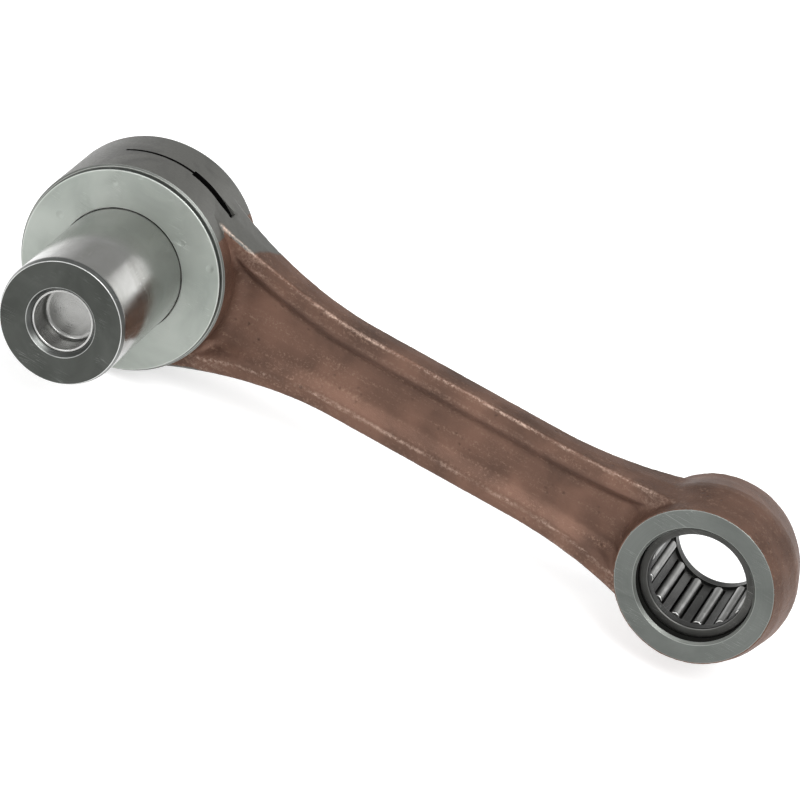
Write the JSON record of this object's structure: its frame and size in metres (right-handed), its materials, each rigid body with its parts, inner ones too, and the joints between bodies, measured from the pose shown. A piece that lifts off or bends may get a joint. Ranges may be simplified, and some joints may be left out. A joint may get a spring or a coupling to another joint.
{
  "type": "connecting rod",
  "caption": "I-beam connecting rod for a small two-stroke engine, with hollow crank pin, thrust washers and caged roller bearings in both eyes.",
  "frame": {"origin": "on the big-end bore axis, at the mid plane of the rod's thickness", "axes": "+X along the shank to the small end, +Y along the bore axes to the rear face, +Z across the shank"},
  "size_m": [0.1572, 0.06, 0.04],
  "materials": {
    "copper_plate": "copper plated forging",
    "ground_pin": "ground",
    "plug_steel": "pressed sheet",
    "washer_silver": "silver plated",
    "cage_steel": "dark phosphated",
    "roller_steel": "lapped"
  },
  "bodies": {
    "rod": {"rod": "copper_plate"},
    "crank_pin": {"crank_pin": "ground_pin", "pin_plug_front": "plug_steel", "pin_plug_rear": "plug_steel"},
    "thrust_washer_front": {"thrust_washer_front": "washer_silver"},
    "thrust_washer_rear": {"thrust_washer_rear": "washer_silver"},
    "big_end_cage": {"big_end_cage": "cage_steel"},
    "small_end_cage": {"small_end_cage": "cage_steel"},
    "big_end_roller_01": {"big_end_roller_01": "roller_steel"},
    "big_end_roller_02": {"big_end_roller_02": "roller_steel"},
    "big_end_roller_03": {"big_end_roller_03": "roller_steel"},
    "big_end_roller_04": {"big_end_roller_04": "roller_steel"},
    "big_end_roller_05": {"big_end_roller_05": "roller_steel"},
    "big_end_roller_06": {"big_end_roller_06": "roller_steel"},
    "big_end_roller_07": {"big_end_roller_07": "roller_steel"},
    "big_end_roller_08": {"big_end_roller_08": "roller_steel"},
    "big_end_roller_09": {"big_end_roller_09": "roller_steel"},
    "big_end_roller_10": {"big_end_roller_10": "roller_steel"},
    "big_end_roller_11": {"big_end_roller_11": "roller_steel"},
    "big_end_roller_12": {"big_end_roller_12": "roller_steel"},
    "big_end_roller_13": {"big_end_roller_13": "roller_steel"},
    "big_end_roller_14": {"big_end_roller_14": "roller_steel"},
    "small_end_needle_01": {"small_end_needle_01": "roller_steel"},
    "small_end_needle_02": {"small_end_needle_02": "roller_steel"},
    "small_end_needle_03": {"small_end_needle_03": "roller_steel"},
    "small_end_needle_04": {"small_end_needle_04": "roller_steel"},
    "small_end_needle_05": {"small_end_needle_05": "roller_steel"},
    "small_end_needle_06": {"small_end_needle_06": "roller_steel"},
    "small_end_needle_07": {"small_end_needle_07": "roller_steel"},
    "small_end_needle_08": {"small_end_needle_08": "roller_steel"},
    "small_end_needle_09": {"small_end_needle_09": "roller_steel"},
    "small_end_needle_10": {"small_end_needle_10": "roller_steel"},
    "small_end_needle_11": {"small_end_needle_11": "roller_steel"},
    "small_end_needle_12": {"small_end_needle_12": "roller_steel"},
    "small_end_needle_13": {"small_end_needle_13": "roller_steel"},
    "small_end_needle_14": {"small_end_needle_14": "roller_steel"}
  },
  "joints": [
    {"name": "crank_pin_turn", "type": "hinge", "parent": "rod", "child": "crank_pin", "pos_m": [0, 0, 0], "axis": [0, 1, 0], "continuous": true},
    {"name": "front_washer_turn", "type": "hinge", "parent": "rod", "child": "thrust_washer_front", "pos_m": [0, 0, 0], "axis": [0, 1, 0], "continuous": true},
    {"name": "rear_washer_turn", "type": "hinge", "parent": "rod", "child": "thrust_washer_rear", "pos_m": [0, 0, 0], "axis": [0, 1, 0], "continuous": true},
    {"name": "big_end_cage_turn", "type": "hinge", "parent": "rod", "child": "big_end_cage", "pos_m": [0, 0, 0], "axis": [0, 1, 0], "continuous": true},
    {"name": "small_end_cage_turn", "type": "hinge", "parent": "rod", "child": "small_end_cage", "pos_m": [0.12, 0, 0], "axis": [0, 1, 0], "continuous": true},
    {"name": "big_end_roller_01_spin", "type": "hinge", "parent": "big_end_cage", "child": "big_end_roller_01", "pos_m": [0.01375, 0, 0], "axis": [0, 1, 0], "continuous": true},
    {"name": "big_end_roller_02_spin", "type": "hinge", "parent": "big_end_cage", "child": "big_end_roller_02", "pos_m": [0.01239, 0, 0.00597], "axis": [0, 1, 0], "continuous": true},
    {"name": "big_end_roller_03_spin", "type": "hinge", "parent": "big_end_cage", "child": "big_end_roller_03", "pos_m": [0.00857, 0, 0.01075], "axis": [0, 1, 0], "continuous": true},
    {"name": "big_end_roller_04_spin", "type": "hinge", "parent": "big_end_cage", "child": "big_end_roller_04", "pos_m": [0.00306, 0, 0.01341], "axis": [0, 1, 0], "continuous": true},
    {"name": "big_end_roller_05_spin", "type": "hinge", "parent": "big_end_cage", "child": "big_end_roller_05", "pos_m": [-0.00306, 0, 0.01341], "axis": [0, 1, 0], "continuous": true},
    {"name": "big_end_roller_06_spin", "type": "hinge", "parent": "big_end_cage", "child": "big_end_roller_06", "pos_m": [-0.00857, 0, 0.01075], "axis": [0, 1, 0], "continuous": true},
    {"name": "big_end_roller_07_spin", "type": "hinge", "parent": "big_end_cage", "child": "big_end_roller_07", "pos_m": [-0.01239, 0, 0.00597], "axis": [0, 1, 0], "continuous": true},
    {"name": "big_end_roller_08_spin", "type": "hinge", "parent": "big_end_cage", "child": "big_end_roller_08", "pos_m": [-0.01375, 0, 0], "axis": [0, 1, 0], "continuous": true},
    {"name": "big_end_roller_09_spin", "type": "hinge", "parent": "big_end_cage", "child": "big_end_roller_09", "pos_m": [-0.01239, 0, -0.00597], "axis": [0, 1, 0], "continuous": true},
    {"name": "big_end_roller_10_spin", "type": "hinge", "parent": "big_end_cage", "child": "big_end_roller_10", "pos_m": [-0.00857, 0, -0.01075], "axis": [0, 1, 0], "continuous": true},
    {"name": "big_end_roller_11_spin", "type": "hinge", "parent": "big_end_cage", "child": "big_end_roller_11", "pos_m": [-0.00306, 0, -0.01341], "axis": [0, 1, 0], "continuous": true},
    {"name": "big_end_roller_12_spin", "type": "hinge", "parent": "big_end_cage", "child": "big_end_roller_12", "pos_m": [0.00306, 0, -0.01341], "axis": [0, 1, 0], "continuous": true},
    {"name": "big_end_roller_13_spin", "type": "hinge", "parent": "big_end_cage", "child": "big_end_roller_13", "pos_m": [0.00857, 0, -0.01075], "axis": [0, 1, 0], "continuous": true},
    {"name": "big_end_roller_14_spin", "type": "hinge", "parent": "big_end_cage", "child": "big_end_roller_14", "pos_m": [0.01239, 0, -0.00597], "axis": [0, 1, 0], "continuous": true},
    {"name": "small_end_needle_01_spin", "type": "hinge", "parent": "small_end_cage", "child": "small_end_needle_01", "pos_m": [0.1299, 0, 0.00139], "axis": [0, 1, 0], "continuous": true},
    {"name": "small_end_needle_02_spin", "type": "hinge", "parent": "small_end_cage", "child": "small_end_needle_02", "pos_m": [0.12832, 0, 0.00555], "axis": [0, 1, 0], "continuous": true},
    {"name": "small_end_needle_03_spin", "type": "hinge", "parent": "small_end_cage", "child": "small_end_needle_03", "pos_m": [0.12509, 0, 0.00861], "axis": [0, 1, 0], "continuous": true},
    {"name": "small_end_needle_04_spin", "type": "hinge", "parent": "small_end_cage", "child": "small_end_needle_04", "pos_m": [0.12085, 0, 0.00996], "axis": [0, 1, 0], "continuous": true},
    {"name": "small_end_needle_05_spin", "type": "hinge", "parent": "small_end_cage", "child": "small_end_needle_05", "pos_m": [0.11644, 0, 0.00934], "axis": [0, 1, 0], "continuous": true},
    {"name": "small_end_needle_06_spin", "type": "hinge", "parent": "small_end_cage", "child": "small_end_needle_06", "pos_m": [0.11274, 0, 0.00687], "axis": [0, 1, 0], "continuous": true},
    {"name": "small_end_needle_07_spin", "type": "hinge", "parent": "small_end_cage", "child": "small_end_needle_07", "pos_m": [0.11047, 0, 0.00304], "axis": [0, 1, 0], "continuous": true},
    {"name": "small_end_needle_08_spin", "type": "hinge", "parent": "small_end_cage", "child": "small_end_needle_08", "pos_m": [0.1101, 0, -0.00139], "axis": [0, 1, 0], "continuous": true},
    {"name": "small_end_needle_09_spin", "type": "hinge", "parent": "small_end_cage", "child": "small_end_needle_09", "pos_m": [0.11168, 0, -0.00555], "axis": [0, 1, 0], "continuous": true},
    {"name": "small_end_needle_10_spin", "type": "hinge", "parent": "small_end_cage", "child": "small_end_needle_10", "pos_m": [0.11491, 0, -0.00861], "axis": [0, 1, 0], "continuous": true},
    {"name": "small_end_needle_11_spin", "type": "hinge", "parent": "small_end_cage", "child": "small_end_needle_11", "pos_m": [0.11915, 0, -0.00996], "axis": [0, 1, 0], "continuous": true},
    {"name": "small_end_needle_12_spin", "type": "hinge", "parent": "small_end_cage", "child": "small_end_needle_12", "pos_m": [0.12356, 0, -0.00934], "axis": [0, 1, 0], "continuous": true},
    {"name": "small_end_needle_13_spin", "type": "hinge", "parent": "small_end_cage", "child": "small_end_needle_13", "pos_m": [0.12726, 0, -0.00687], "axis": [0, 1, 0], "continuous": true},
    {"name": "small_end_needle_14_spin", "type": "hinge", "parent": "small_end_cage", "child": "small_end_needle_14", "pos_m": [0.12953, 0, -0.00304], "axis": [0, 1, 0], "continuous": true}
  ],
  "couplings": [
    {"joint": "big_end_cage_turn", "follows": "crank_pin_turn", "ratio": 0.43636},
    {"joint": "big_end_roller_01_spin", "follows": "crank_pin_turn", "ratio": -3.8871},
    {"joint": "big_end_roller_02_spin", "follows": "crank_pin_turn", "ratio": -3.8871},
    {"joint": "big_end_roller_03_spin", "follows": "crank_pin_turn", "ratio": -3.8871},
    {"joint": "big_end_roller_04_spin", "follows": "crank_pin_turn", "ratio": -3.8871},
    {"joint": "big_end_roller_05_spin", "follows": "crank_pin_turn", "ratio": -3.8871},
    {"joint": "big_end_roller_06_spin", "follows": "crank_pin_turn", "ratio": -3.8871},
    {"joint": "big_end_roller_07_spin", "follows": "crank_pin_turn", "ratio": -3.8871},
    {"joint": "big_end_roller_08_spin", "follows": "crank_pin_turn", "ratio": -3.8871},
    {"joint": "big_end_roller_09_spin", "follows": "crank_pin_turn", "ratio": -3.8871},
    {"joint": "big_end_roller_10_spin", "follows": "crank_pin_turn", "ratio": -3.8871},
    {"joint": "big_end_roller_11_spin", "follows": "crank_pin_turn", "ratio": -3.8871},
    {"joint": "big_end_roller_12_spin", "follows": "crank_pin_turn", "ratio": -3.8871},
    {"joint": "big_end_roller_13_spin", "follows": "crank_pin_turn", "ratio": -3.8871},
    {"joint": "big_end_roller_14_spin", "follows": "crank_pin_turn", "ratio": -3.8871},
    {"joint": "small_end_needle_01_spin", "follows": "small_end_cage_turn", "ratio": -11.111},
    {"joint": "small_end_needle_02_spin", "follows": "small_end_cage_turn", "ratio": -11.111},
    {"joint": "small_end_needle_03_spin", "follows": "small_end_cage_turn", "ratio": -11.111},
    {"joint": "small_end_needle_04_spin", "follows": "small_end_cage_turn", "ratio": -11.111},
    {"joint": "small_end_needle_05_spin", "follows": "small_end_cage_turn", "ratio": -11.111},
    {"joint": "small_end_needle_06_spin", "follows": "small_end_cage_turn", "ratio": -11.111},
    {"joint": "small_end_needle_07_spin", "follows": "small_end_cage_turn", "ratio": -11.111},
    {"joint": "small_end_needle_08_spin", "follows": "small_end_cage_turn", "ratio": -11.111},
    {"joint": "small_end_needle_09_spin", "follows": "small_end_cage_turn", "ratio": -11.111},
    {"joint": "small_end_needle_10_spin", "follows": "small_end_cage_turn", "ratio": -11.111},
    {"joint": "small_end_needle_11_spin", "follows": "small_end_cage_turn", "ratio": -11.111},
    {"joint": "small_end_needle_12_spin", "follows": "small_end_cage_turn", "ratio": -11.111},
    {"joint": "small_end_needle_13_spin", "follows": "small_end_cage_turn", "ratio": -11.111},
    {"joint": "small_end_needle_14_spin", "follows": "small_end_cage_turn", "ratio": -11.111}
  ]
}
